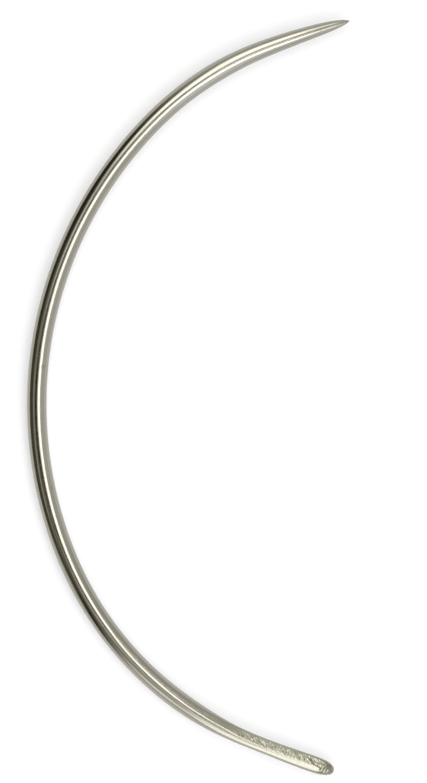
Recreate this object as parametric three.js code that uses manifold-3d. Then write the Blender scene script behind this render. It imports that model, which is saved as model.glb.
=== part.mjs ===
// Curved upholstery needle, made the way the real one is: a length of drawn wire is pointed at one end,
// pressed flat at the other, filed, pierced with a guttered eye, and bent into a bow.
// Sizes are in millimetres. The needle lies flat with +Z up. Its chord, from the eye end to the point,
// runs along +Y, and the bow opens towards +X. The origin is under the middle of its bounding box.

import * as THREE from 'three';
import { mergeVertices } from 'three/addons/utils/BufferGeometryUtils.js';
import Module from 'manifold-3d';

const wasm = await Module();
wasm.setup();

// Wire
const wireDiameter = 2.4;

// Bow: five tangent arcs along the middle of the wire, from the eye end round to the point.
// The two ends are nearly straight, and the bow is tightest just inside them.
const eyeRunRadius = 138;
const eyeRunLength = 10.95;
const lowerBendRadius = 40.5;
const lowerBendLength = 31.5;
const backRadius = 48.8;
const backLength = 58.2;
const upperBendRadius = 38;
const upperBendLength = 15.8;
const pointRunRadius = 110;
const pointRunLength = 10.9;

// Point: a long round taper. Within about the tip length of its end it turns from slender to sharp.
const pointLength = 17;
const tipLength = 0.4;

// Eye end: the wire is pressed thinner from the two sides that the eye goes through, which makes its
// section squarer and bulges the other two sides. It is thinnest at its waist, just behind the eye.
const endThickness = 2.06;
const waistThickness = 1.88;
const waistFromEnd = 9.2;
const pressedRunOut = 12;
const pressedBulge = 0.03;
const pressedSquareness = 3.2;
const endRounding = 2.8;
const endRoundness = 2.4;

// Eye: a slot with round ends and eased rims
const eyeLength = 6.5;
const eyeWidth = 1.05;
const eyeFromEnd = 2.7;
const rimEasing = 0.08;
const rimDepth = 0.2;
const punchOverrun = 0.1;

// Gutters: a shallow groove in both pressed sides lets the thread lie in line with the eye
const gutterDepth = 0.26;
const gutterWidth = 1.4;
const gutterRunIn = 1.9;
const gutterRunOut = 6.2;

// Fineness of the surface
const sides = 40;
const roundingSteps = 8;
const eyeEndStep = 0.6;
const shankStep = 2.4;
const pointSteps = 18;
const slotEndSteps = 8;

const wireRadius = wireDiameter / 2;
const bow = [
  { radius: eyeRunRadius, length: eyeRunLength },
  { radius: lowerBendRadius, length: lowerBendLength },
  { radius: backRadius, length: backLength },
  { radius: upperBendRadius, length: upperBendLength },
  { radius: pointRunRadius, length: pointRunLength },
];
const needleLength = bow.reduce((sum, arc) => sum + arc.length, 0);
const pressedLength = waistFromEnd + pressedRunOut;
const pointStart = needleLength - pointLength;
const eyeEnd = eyeFromEnd + eyeLength;

const nickelPlate = new THREE.MeshStandardMaterial({ color: 0xb9b5a8, metalness: 1, roughness: 0.22 });

// Goes smoothly from 0 at the first place to 1 at the second.
function ease(from, to, place) {
  return THREE.MathUtils.smoothstep(place, from, to);
}

// The outline of the straight blank: rounded end, plain shank, ground point.
// x is the radius and y the distance from the eye end.
function blankProfile() {
  const profile = [];
  for (let i = 0; i < roundingSteps; i += 1) {
    const angle = (Math.PI / 2) * (i / roundingSteps);
    const radius = wireRadius * Math.sin(angle) ** (2 / endRoundness);
    profile.push(new THREE.Vector2(radius, endRounding * (1 - Math.cos(angle) ** (2 / endRoundness))));
  }
  const addPlainStretch = (from, to, step) => {
    const count = Math.max(1, Math.round((to - from) / step));
    for (let i = 0; i < count; i += 1) {
      profile.push(new THREE.Vector2(wireRadius, from + ((to - from) * i) / count));
    }
  };
  addPlainStretch(endRounding, pressedLength, eyeEndStep);
  addPlainStretch(pressedLength, pointStart, shankStep);
  for (let i = pointSteps; i >= 0; i -= 1) {
    const fromTip = pointLength * (i / pointSteps) ** 2;
    const taper = Math.log1p(fromTip / tipLength) / Math.log1p(pointLength / tipLength);
    profile.push(new THREE.Vector2(wireRadius * taper, needleLength - fromTip));
  }
  return profile;
}

// Moves every vertex of a geometry. move gets its place across the eye faces, along the needle and up,
// and returns the new one.
function reshape(geometry, move) {
  const position = geometry.attributes.position;
  for (let i = 0; i < position.count; i += 1) {
    position.setXYZ(i, ...move(position.getX(i), position.getY(i), position.getZ(i)));
  }
  return geometry;
}

// The full section at a distance from the eye end: round in the shank, a squarish oval where it is pressed
function sectionAt(along) {
  const pressed = 1 - ease(waistFromEnd, pressedLength, along);
  const swell = 1 - ease(endRounding, waistFromEnd, along);
  const pressedThickness = THREE.MathUtils.lerp(waistThickness, endThickness, swell);
  return {
    thickness: THREE.MathUtils.lerp(wireDiameter, pressedThickness, pressed),
    width: wireDiameter + 2 * pressedBulge * pressed,
    squareness: THREE.MathUtils.lerp(2, pressedSquareness, pressed),
  };
}

// Presses the round blank to its sections. The bulged sides are then filed level with the shank,
// which leaves a narrow flat that widens towards the end.
function pressEyeEnd(blank) {
  return reshape(blank, (across, along, up) => {
    const radius = Math.hypot(across, up);
    if (radius === 0) return [across, along, up];
    const { thickness, width, squareness } = sectionAt(along);
    const outward = (Math.abs((2 * across) / thickness) ** squareness
      + Math.abs((2 * up) / width) ** squareness) ** (1 / squareness);
    const scale = radius / wireRadius / outward;
    return [across * scale, along, THREE.MathUtils.clamp(up * scale, -wireRadius, wireRadius)];
  });
}

// A groove with a rounded section, deepest at the eye and running out to nothing at both its ends
function pressGutters(blank) {
  return reshape(blank, (across, along, up) => {
    const offMiddle = Math.min(1, Math.abs(up) / (gutterWidth / 2));
    const runIn = ease(eyeFromEnd - gutterRunIn, eyeFromEnd, along);
    const runOut = 1 - ease(eyeEnd, eyeEnd + gutterRunOut, along);
    const depth = (gutterDepth * runIn * runOut * (1 + Math.cos(Math.PI * offMiddle))) / 2;
    return [Math.sign(across) * Math.max(0, Math.abs(across) - depth), along, up];
  });
}

// The eye's piercing tool: a slot with round ends, which flares towards both faces to ease the rims.
// Its outline is drawn along the needle, and its depth goes across the eye faces.
function eyePunch() {
  const reach = Math.max(endThickness, waistThickness, wireDiameter) / 2 + punchOverrun;
  const flareFrom = endThickness / 2 - gutterDepth - rimDepth;
  const flare = (rimEasing / rimDepth) * (reach - flareFrom);
  const endRadius = eyeWidth / 2 + flare;
  const outline = new THREE.Shape();
  outline.absarc(eyeFromEnd + eyeWidth / 2, 0, endRadius, Math.PI / 2, (3 * Math.PI) / 2, false);
  outline.absarc(eyeEnd - eyeWidth / 2, 0, endRadius, -Math.PI / 2, Math.PI / 2, false);
  outline.closePath();
  const punch = new THREE.ExtrudeGeometry(outline, {
    depth: 2 * flareFrom,
    curveSegments: slotEndSteps,
    bevelThickness: reach - flareFrom,
    bevelSize: -flare,
    bevelSegments: 1,
  });
  punch.translate(0, 0, -flareFrom);
  punch.rotateX(Math.PI / 2);
  punch.rotateZ(Math.PI / 2);
  return punch;
}

// A geometry whose corners are shared, with no triangle that has shrunk to a line
function weld(geometry) {
  const bare = geometry.clone();
  bare.deleteAttribute('normal');
  bare.deleteAttribute('uv');
  const merged = mergeVertices(bare);
  const corners = merged.index.array;
  const kept = [];
  for (let i = 0; i < corners.length; i += 3) {
    const [a, b, c] = corners.slice(i, i + 3);
    if (a !== b && b !== c && c !== a) kept.push(a, b, c);
  }
  merged.setIndex(kept);
  return merged;
}

function solidFrom(geometry) {
  const welded = weld(geometry);
  return new wasm.Manifold(new wasm.Mesh({
    numProp: 3,
    vertProperties: new Float32Array(welded.attributes.position.array),
    triVerts: new Uint32Array(welded.index.array),
  }));
}

function geometryFrom(solid) {
  const mesh = solid.getMesh();
  const geometry = new THREE.BufferGeometry();
  geometry.setAttribute('position', new THREE.BufferAttribute(mesh.vertProperties, 3));
  geometry.setIndex(new THREE.BufferAttribute(mesh.triVerts, 1));
  return geometry;
}

// Where the middle of the wire is at a distance from the eye end, and which way it heads there.
// Each arc turns to the right by its length over its radius.
function bowAt(along) {
  let left = along;
  let heading = 0;
  const place = new THREE.Vector2();
  for (const [i, arc] of bow.entries()) {
    const run = i === bow.length - 1 ? left : Math.min(left, arc.length);
    const turn = run / arc.radius;
    const chord = 2 * arc.radius * Math.sin(turn / 2);
    place.x += chord * Math.cos(heading - turn / 2);
    place.y += chord * Math.sin(heading - turn / 2);
    heading -= turn;
    left -= run;
    if (left <= 0) break;
  }
  return { place, heading };
}

// Bends the straight needle over its bow, with the side of positive across on the inside.
function bend(straight) {
  return reshape(straight, (across, along, up) => {
    const { place, heading } = bowAt(along);
    return [place.x + across * Math.sin(heading), place.y - across * Math.cos(heading), up];
  });
}

// Turns the chord to run along +Y and puts the origin under the middle of the bounding box.
function layFlat(geometry) {
  const tip = bowAt(needleLength).place;
  geometry.rotateZ(Math.PI / 2 - tip.angle());
  geometry.computeBoundingBox();
  const { min, max } = geometry.boundingBox;
  return geometry.translate(-(min.x + max.x) / 2, -(min.y + max.y) / 2, -min.z);
}

function makeNeedle() {
  const blank = new THREE.LatheGeometry(blankProfile(), sides);
  const pressed = pressGutters(pressEyeEnd(blank));
  const pierced = geometryFrom(solidFrom(pressed).subtract(solidFrom(eyePunch())));
  const geometry = layFlat(bend(pierced));
  geometry.computeVertexNormals();
  const needle = new THREE.Mesh(geometry, nickelPlate);
  needle.name = 'needle';
  return needle;
}

const upholsteryNeedle = new THREE.Group();
upholsteryNeedle.add(makeNeedle());

export default upholsteryNeedle;
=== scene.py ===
import math

import bmesh
import bpy
from mathutils import Matrix, Vector, noise


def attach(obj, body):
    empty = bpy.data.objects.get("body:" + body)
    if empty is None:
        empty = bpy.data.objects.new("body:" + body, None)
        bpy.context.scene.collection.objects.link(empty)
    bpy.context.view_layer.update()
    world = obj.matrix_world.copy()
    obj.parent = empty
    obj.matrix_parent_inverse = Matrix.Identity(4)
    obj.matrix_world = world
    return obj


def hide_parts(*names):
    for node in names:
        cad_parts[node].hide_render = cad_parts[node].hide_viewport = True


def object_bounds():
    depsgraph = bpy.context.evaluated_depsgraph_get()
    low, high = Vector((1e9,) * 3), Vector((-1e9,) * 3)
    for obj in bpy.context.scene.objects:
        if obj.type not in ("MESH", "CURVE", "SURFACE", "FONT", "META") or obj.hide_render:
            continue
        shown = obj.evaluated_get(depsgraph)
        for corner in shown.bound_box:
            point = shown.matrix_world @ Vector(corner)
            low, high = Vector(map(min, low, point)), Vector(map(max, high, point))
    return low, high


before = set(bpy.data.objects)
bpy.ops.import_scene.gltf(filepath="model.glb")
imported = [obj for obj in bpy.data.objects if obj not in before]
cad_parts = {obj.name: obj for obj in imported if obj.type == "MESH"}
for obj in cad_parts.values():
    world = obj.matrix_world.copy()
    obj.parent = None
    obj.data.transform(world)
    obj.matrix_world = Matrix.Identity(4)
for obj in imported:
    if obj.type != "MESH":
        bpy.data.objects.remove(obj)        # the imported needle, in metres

mm = 0.001
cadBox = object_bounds()
print("frame loaded:", ", ".join(sorted(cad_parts)))

# The needle is shaped straight, as the real one is: x is across, towards the inside of the bow,
# y runs along from the eye end and z is up. It is bent last.
wire = {
    "radius": 1.2 * mm,
    "sides": 112,
    "rings": {"rounding": 64, "head": 290, "shank": 350, "point": 64},
}
bow = [  # radius and length of each arc, from the eye end
    (138 * mm, 10.95 * mm),
    (40.5 * mm, 31.5 * mm),
    (48.8 * mm, 58.2 * mm),
    (38 * mm, 15.8 * mm),
    (110 * mm, 10.9 * mm),
]
point = {
    "length": 17 * mm,
    "tip": 0.4 * mm,
    "ringCrowding": 1.7,
    "turnedUp": 0.22 * mm,  # at the very tip, worn that way by use
    "turnedUpLength": 3.5 * mm,
}
head = {
    "endThickness": 2.06 * mm,
    "waistThickness": 1.88 * mm,
    "waistFromEnd": 9.2 * mm,
    "runOut": 12 * mm,
    "bulge": 0.03 * mm,
    "squareness": 3.2,
    "endRounding": 2.8 * mm,
    "endRoundness": 2.4,
}
eye = {
    "fromEnd": 2.7 * mm,
    "length": 6.5 * mm,
    "width": 1.05 * mm,
    "rim": 0.12 * mm,  # radius that the rim is rounded to
    "rimRings": 5,
    "wallRings": 5,
    "relaxed": 0.45 * mm,  # how far round the slot the mesh is evened out
    "relaxedHeight": 0.9,  # how far up and down that goes, as a share of the wire's radius
    "relaxTurns": 6,
}
gutter = {"depth": 0.26 * mm, "width": 1.4 * mm, "runIn": 1.9 * mm, "runOut": 6.2 * mm}
needleLength = sum(length for radius, length in bow)
pressedLength = head["waistFromEnd"] + head["runOut"]


def ease(start, end, place):
    share = min(1, max(0, (place - start) / (end - start)))
    return share * share * (3 - 2 * share)


def mixed(first, second, share):
    return first + (second - first) * share


def endRadius(along):  # of the round blank near its eye end, a superellipse
    left = max(0, 1 - along / head["endRounding"])
    return wire["radius"] * (1 - left ** head["endRoundness"]) ** (1 / head["endRoundness"])


def pointRadius(fromTip):  # slender, then sharp within about the tip length
    return wire["radius"] * math.log1p(fromTip / point["tip"]) / math.log1p(point["length"] / point["tip"])


def outlineAt(place):  # whole numbers of place are where one stretch of the outline meets the next
    pointStart = needleLength - point["length"]
    if place <= 1:
        turn = math.pi / 2 * place
        along = head["endRounding"] * (1 - math.cos(turn) ** (2 / head["endRoundness"]))
        return endRadius(along), along
    if place <= 2:
        return wire["radius"], mixed(head["endRounding"], pressedLength, place - 1)
    if place <= 3:
        return wire["radius"], mixed(pressedLength, pointStart, place - 2)
    fromTip = point["length"] * max(0, 4 - place) ** point["ringCrowding"]
    return pointRadius(fromTip), needleLength - fromTip


def makeBlank():
    bm = bmesh.new()
    last = bm.verts.new((0, 0, 0))
    for stretch, rings in enumerate(wire["rings"].values()):
        for ring in range(rings):
            last = bmesh.ops.extrude_vert_indiv(bm, verts=[last])["verts"][0]
            radius, along = outlineAt(stretch + (ring + 1) / rings)
            last.co = (radius, along, 0)
    bmesh.ops.spin(bm, geom=bm.verts[:] + bm.edges[:], axis=(0, 1, 0), cent=(0, 0, 0), dvec=(0, 0, 0),
                   angle=2 * math.pi, steps=wire["sides"], use_merge=True, use_duplicate=False)
    bmesh.ops.remove_doubles(bm, verts=bm.verts[:], dist=0.0001 * mm)
    return bm


def sectionAt(along):
    pressed = 1 - ease(head["waistFromEnd"], pressedLength, along)
    swell = 1 - ease(head["endRounding"], head["waistFromEnd"], along)
    thickness = mixed(2 * wire["radius"], mixed(head["waistThickness"], head["endThickness"], swell), pressed)
    width = 2 * wire["radius"] + 2 * head["bulge"] * pressed
    return thickness, width, mixed(2, head["squareness"], pressed)


def gutterAt(along, up):
    offMiddle = min(1, abs(up) / (gutter["width"] / 2))
    runIn = ease(eye["fromEnd"] - gutter["runIn"], eye["fromEnd"], along)
    eyeEnd = eye["fromEnd"] + eye["length"]
    runOut = 1 - ease(eyeEnd, eyeEnd + gutter["runOut"], along)
    return gutter["depth"] * runIn * runOut * (1 + math.cos(math.pi * offMiddle)) / 2


def faceAt(along, up):  # how far across the pressed and guttered face lies
    thickness, width, squareness = sectionAt(along)
    full = endRadius(along) / wire["radius"]
    offMiddle = min(1, abs(2 * up / (width * full)))
    return thickness / 2 * full * (1 - offMiddle ** squareness) ** (1 / squareness) - gutterAt(along, up)


def pressHead(bm):
    for vert in bm.verts:
        across, along, up = vert.co
        radius = math.hypot(across, up)
        if along > pressedLength or radius == 0:
            continue
        thickness, width, squareness = sectionAt(along)
        outward = abs(2 * across / thickness) ** squareness + abs(2 * up / width) ** squareness
        scale = radius / wire["radius"] / outward ** (1 / squareness)
        across, up = across * scale, min(wire["radius"], max(-wire["radius"], up * scale))
        depth = min(abs(across), gutterAt(along, up))
        vert.co = (across - math.copysign(depth, across), along, up)


def fromSlot(along, up):  # distance outside the slot's wall, and the way out from its middle line
    half = eye["width"] / 2
    middle = min(eye["fromEnd"] + eye["length"] - half, max(eye["fromEnd"] + half, along))
    out = Vector((along - middle, up))
    return out.length - half, middle, out.normalized()


def pierceEye(bm):
    hole = [face for face in bm.faces
            if fromSlot(face.calc_center_median().y, face.calc_center_median().z)[0] < eye["rim"]]
    bmesh.ops.delete(bm, geom=hole, context="FACES")
    rim = [edge for edge in bm.edges if edge.is_boundary]
    rimVerts = {vert for edge in rim for vert in edge.verts}
    rimReach = eye["width"] / 2 + eye["rim"]
    for vert in rimVerts:
        middle, out = fromSlot(vert.co.y, vert.co.z)[1:]
        vert.co.y, vert.co.z = middle + out.x * rimReach, out.y * rimReach
        vert.co.x = math.copysign(faceAt(vert.co.y, vert.co.z), vert.co.x)
    near = [vert for vert in bm.verts
            if vert not in rimVerts and abs(vert.co.z) < eye["relaxedHeight"] * wire["radius"]
            and fromSlot(vert.co.y, vert.co.z)[0] < eye["rim"] + eye["relaxed"]]
    for repeat in range(eye["relaxTurns"]):
        bmesh.ops.smooth_vert(bm, verts=near, factor=0.5, use_axis_y=True, use_axis_z=True)
        for vert in near:
            vert.co.x = math.copysign(faceAt(vert.co.y, vert.co.z), vert.co.x)
    for ring in range(1, eye["rimRings"] + 1):  # a quarter round, turned in step by step
        turn = math.pi / 2 * ring / eye["rimRings"]
        made = bmesh.ops.extrude_edge_only(bm, edges=rim)["geom"]
        rim = [part for part in made if isinstance(part, bmesh.types.BMEdge)]
        for vert in (part for part in made if isinstance(part, bmesh.types.BMVert)):
            middle, out = fromSlot(vert.co.y, vert.co.z)[1:]
            face = faceAt(middle + out.x * rimReach, out.y * rimReach)
            reach = eye["width"] / 2 + eye["rim"] * (1 - math.sin(turn))
            vert.co.y, vert.co.z = middle + out.x * reach, out.y * reach
            vert.co.x = math.copysign(face - eye["rim"] * (1 - math.cos(turn)), vert.co.x)
    wall = bmesh.ops.bridge_loops(bm, edges=rim)
    bmesh.ops.subdivide_edges(bm, edges=wall["edges"], cuts=eye["wallRings"] - 1, use_grid_fill=True)
    bmesh.ops.recalc_face_normals(bm, faces=bm.faces[:])


# The upper inner side of the eye end is filed to a slanting flat, which starts in the lower bend and twists a
# little. Its level is how far out it lies from the middle of the wire.
filed = {
    "slant": [  # along and level in mm, tilt in degrees
        (36, 1.2, 18), (33, 1.192, 18), (30.6, 1.179, 18), (28, 1.174, 18), (24, 1.169, 18), (20, 1.161, 18),
        (17, 1.158, 19), (14.5, 1.148, 19.5), (12.5, 1.123, 19.2), (9, 1.124, 16.8), (6.5, 1.127, 16.3),
        (4, 1.14, 16.3), (0, 1.12, 16.3),
    ],
    "edge": 0.022 * mm,  # how much the edges of the flat are rubbed over
    "edgeRunOut": 0.8,  # where the rubbing starts to run out, as a share of the flat's length
    "uneven": 0.014 * mm,
    "unevenLength": 0.9 * mm,
    "unevenEnd": (10 * mm, 15 * mm),
}
# What the file, the hammer and years of use have left in the surface. Depths are taken off the form.
marks = {
    "strokeDepth": 0.048 * mm,
    "strokeLength": 0.7 * mm,
    "strokeWidth": 0.13 * mm,
    "strokeSlant": math.radians(-35),  # off straight across the needle
    "strokeNoise": (0.9, 2.1, 2),  # how its layers weaken, how much finer each one is and how many there are
    "strokeLayer": 3,  # place in the noise, on the other side of 0 for the underside
    "strokeLevel": 0.45,  # share of the depth, where the noise is at 0
    "strokeContrast": 0.85,
    "strokesEnd": (9.5 * mm, 14.5 * mm),
    "strokesBelow": (0.002 * mm, 0.03 * mm),  # how far below the flat's level they run out
    "underFlat": (0.86, 0.985),  # where they start and are full underneath, as shares of the wire's radius
    "underFlatEnd": (11.4 * mm, 19 * mm),
    "grooves": [1.13 * mm, 0.79 * mm, 0.47 * mm],  # across the rounded end, on its outer side
    "grooveHalfWidth": 0.075 * mm,
    "grooveDepth": 0.06 * mm,
    "grooveDepths": (0.8, 1.2),  # shares of it, where the noise is at 0 and at 1
    "grooveSlant": 0.1,
    "grooveWander": 0.03 * mm,
    "grooveUnevenLength": 0.5 * mm,
    "grooveFade": (-0.2 * mm, 0.05 * mm),  # across, where they run out towards the inner side
    "grooveInner": 0.25,  # share of the depth that is left there
    "waveDepth": 0.010 * mm,
    "waveLength": 8 * mm,
    "waveScale": 1.3,
    "pits": [  # along, across, up, half length, depth
        (66.8 * mm, 0.64 * mm, 1.015 * mm, 0.18 * mm, 0.045 * mm),
        (51.8 * mm, 0.76 * mm, 0.93 * mm, 0.18 * mm, 0.04 * mm),
        (0.39 * mm, -0.49 * mm, 0.4 * mm, 0.07 * mm, 0.04 * mm),
    ],
    "cut": [(3.25, 0.56), (2.64, 0.13), (1.69, -0.09), (1.6, -0.32)],  # along and across, in mm
    "cutHalfWidth": 0.07 * mm,
    "cutDepth": 0.07 * mm,
    "cutReach": 5 * mm,  # nothing of it lies past this place
}


def slantAt(along):
    rows = filed["slant"]
    for (start, *before), (end, *after) in zip(rows, rows[1:]):
        if along >= end * mm:
            share = min(1, (along / mm - end) / (start - end))
            level, tilt = (mixed(low, high, share) for low, high in zip(after, before))
            return level * mm, math.radians(tilt)


def overSlant(across, along, up):  # how far a place lies outside the slanting flat, and the flat's way out
    level, tilt = slantAt(along)
    ripple = noise.noise(Vector((0.5, along / filed["unevenLength"], 0)))
    level += filed["uneven"] * ripple * (1 - ease(*filed["unevenEnd"], along))
    outAcross, outUp = math.sin(tilt), math.cos(tilt)
    return across * outAcross + up * outUp - level, Vector((outAcross, 0, outUp))


def fileSlant(bm):
    starts = filed["slant"][0][0] * mm
    for vert in bm.verts:
        if vert.co.z > 0 and vert.co.y < starts:
            over, out = overSlant(*vert.co)
            runOut = ease(filed["edgeRunOut"] * starts, starts, vert.co.y)
            soft = filed["edge"] * (1 - runOut) * min(1, vert.co.z / mm)
            vert.co -= out * (over + math.hypot(over, soft)) / 2


def strokesAt(across, along, layer):
    slant = Matrix.Rotation(marks["strokeSlant"], 2) @ Vector((across, along))
    place = Vector((slant.x / marks["strokeLength"], slant.y / marks["strokeWidth"], layer))
    stroke = noise.fractal(place, *marks["strokeNoise"])
    return min(1, max(0, marks["strokeLevel"] + marks["strokeContrast"] * stroke))


def offLine(along, across, corners):  # distance to the nearest of the straight runs between the corners
    here = Vector((along, across))
    gaps = []
    for start, end in zip(corners, corners[1:]):
        start, run = Vector(start) * mm, (Vector(end) - Vector(start)) * mm
        share = min(1, max(0, (here - start).dot(run) / run.length_squared))
        gaps.append((here - start - run * share).length)
    return min(gaps)


def onFlat(across, along, up):  # 1 on the slanting flat, 0 off it and where the file has run out
    if up <= 0 or along > marks["strokesEnd"][1]:
        return 0
    below = -overSlant(across, along, up)[0]
    return (1 - ease(*marks["strokesBelow"], below)) * (1 - ease(*marks["strokesEnd"], along))


def inCut(across, along, up):  # 1 in the bottom of the deep cut across the flat
    if up <= 0 or along > marks["cutReach"]:
        return 0
    off = offLine(along, across, marks["cut"]) / marks["cutHalfWidth"]
    return math.exp(-off * off)


def wornOff(across, along, up):  # how much of the surface is gone at a place
    radius = wire["radius"]
    here = Vector((across / radius, along / marks["waveLength"], up / radius))
    wave = noise.noise(here * marks["waveScale"])
    gone = marks["waveDepth"] * (0.5 + 0.5 * wave)
    filedHere = onFlat(across, along, up)
    if filedHere:
        gone += marks["strokeDepth"] * filedHere * strokesAt(across, along, marks["strokeLayer"])
    if up < 0 and along < marks["underFlatEnd"][1]:
        filedHere = ease(*marks["underFlat"], -up / radius) * (1 - ease(*marks["underFlatEnd"], along))
        gone += marks["strokeDepth"] * filedHere * strokesAt(across, along, -marks["strokeLayer"])
    if along < head["endRounding"]:
        uneven = noise.noise(Vector((across, along, up)) / marks["grooveUnevenLength"])
        deep = marks["grooveDepth"] * mixed(1, marks["grooveInner"], ease(*marks["grooveFade"], across))
        for groove in marks["grooves"]:
            place = along + marks["grooveSlant"] * across + marks["grooveWander"] * uneven
            off = (place - groove) / marks["grooveHalfWidth"]
            gone += deep * math.exp(-off * off) * mixed(*marks["grooveDepths"], uneven)
    gone += marks["cutDepth"] * inCut(across, along, up)
    for pitAlong, pitAcross, pitUp, half, depth in marks["pits"]:
        off = Vector((along - pitAlong, across - pitAcross, up - pitUp)).length / half
        gone += depth * math.exp(-off * off) if off < 3 else 0
    return gone


def turnUpPoint(bm):
    for vert in bm.verts:
        share = max(0, 1 - (needleLength - vert.co.y) / point["turnedUpLength"])
        vert.co.z += point["turnedUp"] * share * share


def wearSurface(bm):
    bm.normal_update()
    worn = [vert.co - vert.normal * wornOff(*vert.co) for vert in bm.verts]
    for vert, place in zip(bm.verts, worn):
        vert.co = place


def bowAt(along):
    left, heading, place = along, 0, Vector((0, 0))
    for number, (radius, length) in enumerate(bow):
        run = left if number == len(bow) - 1 else min(left, length)
        turn = run / radius
        chord = 2 * radius * math.sin(turn / 2)
        place += chord * Vector((math.cos(heading - turn / 2), math.sin(heading - turn / 2)))
        heading -= turn
        left -= run
        if left <= 0:
            break
    return place, heading


def bendOverBow(bm):
    tip = bowAt(needleLength)[0]
    toChord = Matrix.Rotation(math.pi / 2 - math.atan2(tip.y, tip.x), 3, "Z")
    for vert in bm.verts:
        place, heading = bowAt(vert.co.y)
        vert.co = toChord @ Vector((place.x + vert.co.x * math.sin(heading),
                                    place.y - vert.co.x * math.cos(heading), vert.co.z))
    low, high = cadBox
    for axis in range(3):
        places = [vert.co[axis] for vert in bm.verts]
        shift = (low[axis] + high[axis]) / 2 - (min(places) + max(places)) / 2
        for vert in bm.verts:
            vert.co[axis] += shift


def makeNeedle():
    bm = makeBlank()
    pressHead(bm)
    pierceEye(bm)
    fileSlant(bm)
    straight = [vert.co.copy() for vert in bm.verts]
    # how much each place lies on the filed flat, and in the bottom of the cut, which the finish makes darker
    filedFlat, darkCut = [onFlat(*place) for place in straight], [inCut(*place) for place in straight]
    wearSurface(bm)
    turnUpPoint(bm)
    bendOverBow(bm)
    mesh = bpy.data.meshes.new("needleSteel")
    bm.to_mesh(mesh)
    bm.free()
    place = mesh.attributes.new("straightPlace", "FLOAT_VECTOR", "POINT")
    place.data.foreach_set("vector", [number for co in straight for number in co])
    for name, values in (("filedFlat", filedFlat), ("darkCut", darkCut)):
        mesh.attributes.new(name, "FLOAT", "POINT").data.foreach_set("value", values)
    mesh.polygons.foreach_set("use_smooth", [True] * len(mesh.polygons))
    needle = bpy.data.objects.new("needleSteel", mesh)
    bpy.context.scene.collection.objects.link(needle)
    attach(needle, "root")
    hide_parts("needle")
    return needle


needle = makeNeedle()
print("needle shaped:", len(needle.data.polygons), "faces")


def addNode(tree, kind, inputs, **settings):
    made = tree.nodes.new("ShaderNode" + kind)
    for name, value in settings.items():
        setattr(made, name, value)
    for name, value in inputs.items():
        if isinstance(value, bpy.types.NodeSocket):
            tree.links.new(value, made.inputs[name])
        else:
            made.inputs[name].default_value = value
    return made


def sums(tree, operation, first, second=0):
    return addNode(tree, "Math", {0: first, 1: second}, operation=operation).outputs["Value"]


def stepped(tree, value, start, end, low, high):  # low before the start, high past the end, smooth between
    inputs = {"Value": value, "From Min": start, "From Max": end, "To Min": low, "To Max": high}
    return addNode(tree, "MapRange", inputs, interpolation_type="SMOOTHSTEP").outputs["Result"]


def blend(tree, share, first, second):
    inputs = {"Factor": share, "A": first, "B": second}
    return addNode(tree, "Mix", inputs, data_type="RGBA").outputs["Result"]


def distance(tree, first, second=(0, 0, 0)):
    return addNode(tree, "VectorMath", {0: first, 1: second}, operation="DISTANCE").outputs["Value"]


def scaledBy(tree, vector, scale):
    return addNode(tree, "VectorMath", {0: vector, "Scale": scale}, operation="SCALE").outputs["Vector"]


def stored(tree, name):  # a value that the needle's mesh holds
    return addNode(tree, "Attribute", {}, attribute_name=name).outputs["Fac"]


def newEffect(name, inputs, outputs):
    effect = bpy.data.node_groups.new(name, "ShaderNodeTree")
    for label, kind, value in inputs:
        socket = effect.interface.new_socket(name=label, in_out="INPUT", socket_type="NodeSocket" + kind)
        if value is not None:
            socket.default_value = value
    for label, kind in outputs:
        effect.interface.new_socket(name=label, in_out="OUTPUT", socket_type="NodeSocket" + kind)
    return effect, effect.nodes.new("NodeGroupInput").outputs, effect.nodes.new("NodeGroupOutput").inputs


effects = {
    "patchNoise": {"Scale": 1, "Detail": 3, "Roughness": 0.55},
    "patchLimits": (0.3, 0.7),  # of the noise, where a patch starts and where it is full
    "patchNarrowing": 0.18,  # how far each limit moves in at a sharpness of 1
    "lineNoise": {"Scale": 1, "Detail": 2, "Roughness": 0.5},
    "lineLimits": (0.35, 0.65),
}


def makePatches():  # cloudy patches of a given size, from 0 to 1
    effect, given, result = newEffect("patches", [
        ("Place", "Vector", None), ("Size", "Float", 1 * mm), ("Sharpness", "Float", 0.3),
    ], [("Patches", "Float")])
    scaled = scaledBy(effect, given["Place"], sums(effect, "DIVIDE", 1, given["Size"]))
    cloud = addNode(effect, "TexNoise", {"Vector": scaled, **effects["patchNoise"]})
    narrower = sums(effect, "MULTIPLY", given["Sharpness"], effects["patchNarrowing"])
    low, high = effects["patchLimits"]
    low, high = sums(effect, "ADD", low, narrower), sums(effect, "SUBTRACT", high, narrower)
    cloudy = addNode(effect, "MapRange", {"Value": cloud.outputs["Fac"], "From Min": low, "From Max": high})
    effect.links.new(cloudy.outputs["Result"], result["Patches"])
    return effect


def makeScratches():  # fine lines that run along the wire, and a few long scratches a little off it
    effect, given, result = newEffect("scratches", [
        ("Place", "Vector", None), ("Line Width", "Float", 0.05 * mm), ("Line Length", "Float", 4 * mm),
        ("Slant", "Float", 0.0),
    ], [("Lines", "Float")])
    turning = {"Vector": given["Place"], "Angle": given["Slant"], "Axis": (0, 0, 1)}
    turned = addNode(effect, "VectorRotate", turning)
    parts = addNode(effect, "SeparateXYZ", {"Vector": turned.outputs["Vector"]}).outputs
    across = sums(effect, "DIVIDE", parts["X"], given["Line Width"])
    along = sums(effect, "DIVIDE", parts["Y"], given["Line Length"])
    up = sums(effect, "DIVIDE", parts["Z"], given["Line Width"])
    drawn = addNode(effect, "CombineXYZ", {"X": across, "Y": along, "Z": up})
    lines = addNode(effect, "TexNoise", {"Vector": drawn.outputs["Vector"], **effects["lineNoise"]})
    effect.links.new(stepped(effect, lines.outputs["Fac"], *effects["lineLimits"], 0, 1), result["Lines"])
    return effect


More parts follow.
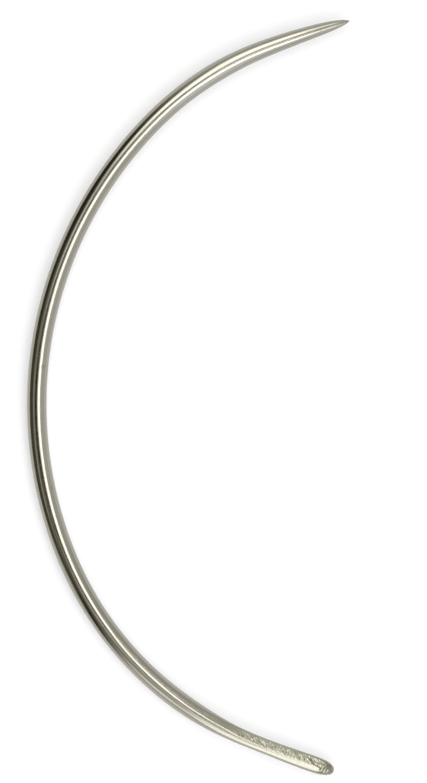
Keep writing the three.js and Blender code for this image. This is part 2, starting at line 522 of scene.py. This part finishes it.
patches, scratches = makePatches(), makeScratches()


def patchesOn(tree, place, size, sharpness):
    group = addNode(tree, "Group", {}, node_tree=patches)
    tree.links.new(place, group.inputs["Place"])
    group.inputs["Size"].default_value = size
    group.inputs["Sharpness"].default_value = sharpness
    return group.outputs["Patches"]


def scratchesOn(tree, place, width, length, slant=0):
    group = addNode(tree, "Group", {}, node_tree=scratches)
    tree.links.new(place, group.inputs["Place"])
    group.inputs["Line Width"].default_value = width
    group.inputs["Line Length"].default_value = length
    group.inputs["Slant"].default_value = slant
    return group.outputs["Lines"]


# Nickel plate: bright along the shank, duller and olive where the eye end was filed and pressed
plate = {
    "colour": (0.35, 0.337, 0.29, 1),
    "tarnish": (0.275, 0.272, 0.212, 1),
    "tarnishedEnd": (10 * mm, 25 * mm),  # full up to the first place, faint past the second
    "tarnishShare": (0.1, 0.8),  # on the shank and on the inner side of the eye end
    "outerShare": 0.35,  # of that tarnish, on the eye end's outer side
    "innerSide": (-0.2 * mm, 0.1 * mm),  # across, where the outer side ends and the inner one starts
    "finePatches": (0.24 * mm, 0.9),  # size and sharpness
    "broadPatches": (2.5 * mm, 0.5),
    "onFlat": (0.33, 0.332, 0.26, 1),
    "onFlatShare": 0.8,
    "stain": (0.16, 0.12, 0.075, 1),
    "stainShare": (0.5, 1),
    "cutDark": (0.1, 0.085, 0.06, 1),  # darker in the bottom of the cut
    "cutDarkShare": (0.35, 0.85),
    "stains": [  # along, across, up, half length, strength
        (3.86 * mm, 0.22 * mm, 1.05 * mm, 0.2 * mm, 1),
        (11.9 * mm, 0.13 * mm, 1.1 * mm, 0.24 * mm, 1),
        (12.3 * mm, 0.1 * mm, 1.1 * mm, 0.22 * mm, 1),
        (66.8 * mm, 0.64 * mm, 1.015 * mm, 0.22 * mm, 0.35),
        (51.8 * mm, 0.76 * mm, 0.93 * mm, 0.22 * mm, 0.3),
    ],
    "dome": (0.2, 0.193, 0.14, 1),  # the rounded end is darker in patches
    "domeEnd": (1.3 * mm, 2.3 * mm),
    "domeShare": (0.15, 0.85),
    "roughness": (0.11, 0.15),
    "endRoughness": 0.07,  # added at the eye end
    "flatRoughness": (0, 0.09),  # added on the filed flat, in patches
    "pointRoughness": 0.14,  # added at the very point
    "pointStretch": (3 * mm, 0.5 * mm),  # off the tip, where that starts and where it is full
    "wallRoughness": 0.3,  # added inside the eye
    "wallEdge": 0.06 * mm,
    "lines": (0.05 * mm, 5 * mm),  # width and length
    "lineHeight": 0.0005 * mm,
    "scratches": (0.09 * mm, 12 * mm, math.radians(7)),  # width, length and slant
    "scratchLimits": (0.85, 1),  # only the strongest lines are scratches
    "scratchHeight": 0.001 * mm,
}


def plateColour(tree, place, atEyeEnd, flat, fine, cloudy):
    parts = addNode(tree, "SeparateXYZ", {"Vector": place}).outputs
    onInside = stepped(tree, parts["X"], *plate["innerSide"], plate["outerShare"], 1)
    share = stepped(tree, sums(tree, "MULTIPLY", atEyeEnd, onInside), 0, 1, *plate["tarnishShare"])
    patchy = sums(tree, "ADD", cloudy, sums(tree, "MULTIPLY", share, 0.4))  # fuller where it is tarnished
    tarnished = sums(tree, "MULTIPLY", share, stepped(tree, patchy, 0.2, 0.8, 0, 1))
    colour = blend(tree, tarnished, plate["colour"], plate["tarnish"])
    colour = blend(tree, sums(tree, "MULTIPLY", flat, plate["onFlatShare"]), colour, plate["onFlat"])
    onDome = sums(tree, "MULTIPLY", stepped(tree, parts["Y"], *plate["domeEnd"], 1, 0),
                  stepped(tree, fine, 0.1, 0.9, *plate["domeShare"]))
    colour = blend(tree, onDome, colour, plate["dome"])

    stained = None
    for along, across, up, half, strength in plate["stains"]:
        mark = stepped(tree, distance(tree, place, (across, along, up)), 0.3 * half, half, strength, 0)
        stained = mark if stained is None else sums(tree, "MAXIMUM", stained, mark)
    stained = sums(tree, "MULTIPLY", stained, stepped(tree, fine, 0.1, 0.7, *plate["stainShare"]))
    colour = blend(tree, stained, colour, plate["stain"])
    # the bottom of the cut across the flat is made darker, in patches
    darkenedInCut = sums(tree, "MULTIPLY", stepped(tree, stored(tree, "darkCut"), 0.3, 0.9, 0, 1),
                 stepped(tree, fine, 0.2, 0.8, *plate["cutDarkShare"]))
    return blend(tree, darkenedInCut, colour, plate["cutDark"])


def plateRoughness(tree, place, atEyeEnd, flat, fine, cloudy):
    parts = addNode(tree, "SeparateXYZ", {"Vector": place}).outputs
    half = eye["width"] / 2
    nearest = addNode(tree, "Clamp", {"Value": parts["Y"], "Min": eye["fromEnd"] + half,
                                      "Max": eye["fromEnd"] + eye["length"] - half}).outputs["Result"]
    off = addNode(tree, "CombineXYZ", {"X": sums(tree, "SUBTRACT", parts["Y"], nearest), "Y": parts["Z"]})
    inEye = stepped(tree, distance(tree, off.outputs["Vector"]), half, half + plate["wallEdge"], 1, 0)
    pointStart, pointFull = (needleLength - fromTip for fromTip in plate["pointStretch"])
    atPoint = stepped(tree, parts["Y"], pointStart, pointFull, 0, 1)
    rough = stepped(tree, cloudy, 0.2, 0.8, *plate["roughness"])
    for where, more in ((atEyeEnd, "endRoughness"), (inEye, "wallRoughness"), (atPoint, "pointRoughness")):
        rough = sums(tree, "ADD", rough, sums(tree, "MULTIPLY", where, plate[more]))
    onlyFlat = sums(tree, "MULTIPLY", flat, stepped(tree, fine, 0.1, 0.9, *plate["flatRoughness"]))
    return sums(tree, "ADD", rough, onlyFlat)


def plateNormal(tree, place):
    lines = scratchesOn(tree, place, *plate["lines"])
    long = stepped(tree, scratchesOn(tree, place, *plate["scratches"]), *plate["scratchLimits"], 0, 1)
    height = sums(tree, "ADD", sums(tree, "MULTIPLY", lines, plate["lineHeight"]),
                  sums(tree, "MULTIPLY", long, -plate["scratchHeight"]))
    return addNode(tree, "Bump", {"Height": height, "Distance": 1, "Strength": 1}).outputs["Normal"]


def makePlate():
    material = bpy.data.materials.new("nickelPlate")
    material.use_nodes = True
    tree = material.node_tree
    shader = tree.nodes["Principled BSDF"]
    place = addNode(tree, "Attribute", {}, attribute_name="straightPlace").outputs["Vector"]
    along = addNode(tree, "SeparateXYZ", {"Vector": place}).outputs["Y"]
    atEyeEnd = stepped(tree, along, *plate["tarnishedEnd"], 1, 0)
    fine = patchesOn(tree, place, *plate["finePatches"])
    broad = patchesOn(tree, place, *plate["broadPatches"])
    cloudy = sums(tree, "MULTIPLY", sums(tree, "ADD", fine, broad), 0.5)
    flat = stored(tree, "filedFlat")
    tree.links.new(plateColour(tree, place, atEyeEnd, flat, fine, cloudy), shader.inputs["Base Color"])
    tree.links.new(plateRoughness(tree, place, atEyeEnd, flat, fine, cloudy), shader.inputs["Roughness"])
    tree.links.new(plateNormal(tree, place), shader.inputs["Normal"])
    shader.inputs["Metallic"].default_value = 1
    return material


needle.data.materials.append(makePlate())
print("finish made")

# The studio: a pale table, soft panels close over the needle, and a room that is dark to the back of the bow.
# Places are in degrees off straight up, towards +X and +Y.
studio = {
    "floorSize": 6,  # metres
    "floorColour": (0.53, 0.535, 0.55, 1),
    "floorShade": (0.5, 0.505, 0.52, 1),  # in faint cloudy patches
    "floorPatches": 40 * mm,
    "floorGlow": (0.45, 0.62),  # beside the needle and far off, where the panels don't reach
    "glowReach": 0.25,  # metres
    "panelDistance": 0.115,
    "panelGap": 3 * mm,
    "panels": {  # place, size across and along, turn, softness, brightness
        "key": ((16.9, -4.4), (22.6, 28), 10, 0.06, 2.65),
        "keyEnd": ((10.5, 19), (8, 11), 0, 0.4, 1.5),
        "upper": ((-8, 45), (28, 38.5), -29, 0.16, 2.5),
        "upperNear": ((-5.8, 28.5), (11, 12), 0, 0.3, 1.2),
        "upperLeft": ((-26.5, 36.5), (12, 13), 0, 0.3, 0.9),
        "lower": ((4.9, -46.1), (28.3, 74), -34, 0.1, 2.1),
        "lowerNear": ((13.5, -26), (13, 15), 0, 0.25, 1.7),
        "side": ((-29, -60), (14, 20), -30, 0.3, 1.1),
    },
    "room": (0.75, 0.88),  # behind the bow and on its open side
    "roomEdge": (-17, -9),  # degrees towards +X, where the first ends and the second starts
    "warmth": (1.04, 1.22),  # powers of the light for green and blue, so that what is dark is also warm
    "roomPatches": {  # place, half size, turn, softness, share of the room's light that is left
        "farCorner": ((-53, 34), (38, 22), -35, 0.64, 0.06),
        "wall": ((-69, -2), (24, 34), 28, 0.26, 0.16),
        "doorway": ((-50, -34), (54, 7.5), 46, 0.95, 0.03),
        "overhead": ((-9.5, -0.3), (13, 4.9), 3, 0.3, 0.015),
        "shelf": ((54, 48), (46, 28), 40, 0.4, 0.8),
        "window": ((38, -51), (20, 12), -55, 0.6, 1.6),
        "ceiling": ((-22, 14), (11, 6), -30, 0.5, 2.3),
        "lintel": ((-15, 6), (7, 3), -22, 0.6, 2.6),
        "cornice": ((-15, -9), (5.5, 4.5), 135, 0.6, 1.4),
        "doorEdge": ((-28, -25), (12, 4), 42, 0.5, 0.7),
        "wallFoot": ((-82, -27), (15, 9), 0, 0.6, 0.6),
        "curtain": ((-41, -16), (9, 8), 0, 0.7, 1.9),
    },
}


def addPanel(name, place, size, turn, softness, brightness):
    toward = Vector(place)
    zenith = math.radians(toward.length)
    out = Vector((*(toward.normalized() * math.sin(zenith)), math.cos(zenith)))
    facing = out.to_track_quat("Z", "Y").to_matrix()
    # Two lamps of half the brightness, one a little larger and behind the other, blur the panel's edge
    for share, behind in ((1 - softness, 0), (1 + softness, studio["panelGap"])):
        away = studio["panelDistance"] + behind
        lamp = bpy.data.lights.new(name, "AREA")
        lamp.shape = "ELLIPSE"
        lamp.size, lamp.size_y = (2 * away * math.tan(math.radians(angle * share / 2)) for angle in size)
        lamp.energy = brightness / 2 * math.pi * math.pi / 4 * lamp.size * lamp.size_y
        panel = bpy.data.objects.new(name, lamp)
        panel.location = out * away
        panel.rotation_euler = (facing @ Matrix.Rotation(math.radians(turn), 3, "Z")).to_euler()
        panel.visible_camera = False
        bpy.context.scene.collection.objects.link(panel)


def makeRoom():
    world = bpy.data.worlds.new("room")
    world.use_nodes = True
    bpy.context.scene.world = world
    tree = world.node_tree

    # The directions are laid out flat, in degrees off straight up
    direction = addNode(tree, "TexCoord", {}).outputs["Generated"]
    parts = addNode(tree, "SeparateXYZ", {"Vector": direction}).outputs
    level = addNode(tree, "CombineXYZ", {"X": parts["X"], "Y": parts["Y"]})
    heading = addNode(tree, "VectorMath", {0: level.outputs["Vector"]}, operation="NORMALIZE")
    zenith = sums(tree, "DEGREES", sums(tree, "ARCCOSINE", parts["Z"]))
    sky = scaledBy(tree, heading.outputs["Vector"], zenith)

    toRight = addNode(tree, "SeparateXYZ", {"Vector": sky}).outputs["X"]
    light = stepped(tree, toRight, *studio["roomEdge"], *studio["room"])
    for place, size, turn, softness, left in studio["roomPatches"].values():
        patch = addNode(tree, "Mapping", {"Vector": sky, "Location": (*place, 0), "Scale": (*size, 1),
                                          "Rotation": (0, 0, math.radians(turn))}, vector_type="TEXTURE")
        off = distance(tree, patch.outputs["Vector"])
        light = sums(tree, "MULTIPLY", light, stepped(tree, off, 1 - softness, 1 + softness, left, 1))
    green, blue = (sums(tree, "POWER", light, power) for power in studio["warmth"])
    warm = addNode(tree, "CombineColor", {"Red": light, "Green": green, "Blue": blue})
    tree.links.new(warm.outputs["Color"], tree.nodes["Background"].inputs["Color"])


def makeFloor():
    bm = bmesh.new()
    bmesh.ops.create_grid(bm, x_segments=1, y_segments=1, size=studio["floorSize"] / 2)
    mesh = bpy.data.meshes.new("tableTop")
    bm.to_mesh(mesh)
    bm.free()
    floor = bpy.data.objects.new("tableTop", mesh)
    bpy.context.scene.collection.objects.link(floor)
    material = bpy.data.materials.new("paleTable")
    material.use_nodes = True
    tree = material.node_tree
    shader = tree.nodes["Principled BSDF"]
    place = addNode(tree, "TexCoord", {}).outputs["Object"]
    glow = stepped(tree, distance(tree, place), 0, studio["glowReach"], *studio["floorGlow"])
    rays = addNode(tree, "LightPath", {}).outputs
    seen = sums(tree, "MAXIMUM", rays["Is Camera Ray"], sums(tree, "MAXIMUM", rays["Is Glossy Ray"],
                                                             rays["Is Transmission Ray"]))
    cloudy = patchesOn(tree, place, studio["floorPatches"], 0)
    tint = blend(tree, cloudy, studio["floorColour"], studio["floorShade"])
    tree.links.new(tint, shader.inputs["Base Color"])
    shader.inputs["Roughness"].default_value = 1
    shader.inputs["Specular IOR Level"].default_value = 0
    shader.inputs["Emission Color"].default_value = (1, 1, 1, 1)
    tree.links.new(sums(tree, "MULTIPLY", seen, glow), shader.inputs["Emission Strength"])
    mesh.materials.append(material)


for name, values in studio["panels"].items():
    addPanel(name, *values)
makeRoom()
makeFloor()
bpy.context.scene.view_settings.view_transform = "Standard"
print("studio lit")

# The camera looks straight down, as the photograph was taken
view = {
    "across": 3.5 * mm,  # its place over the needle
    "along": 0.41 * mm,
    "roll": math.radians(1.22),
    "lens": 400,
    "sensor": 36,
    "tall": 95.01 * mm,  # what the frame's long side takes in at the needle's mid height
}


def addCamera():
    data = bpy.data.cameras.new("photograph")
    data.lens = view["lens"]
    data.sensor_width = view["sensor"]
    data.clip_start = 1 * mm
    camera = bpy.data.objects.new("photograph", data)
    low, high = cadBox
    height = view["tall"] * view["lens"] / view["sensor"]
    camera.location = (view["across"], view["along"], (low.z + high.z) / 2 + height)
    camera.rotation_euler = (0, 0, view["roll"])
    bpy.context.scene.collection.objects.link(camera)
    bpy.context.scene.camera = camera


addCamera()
print("camera set")
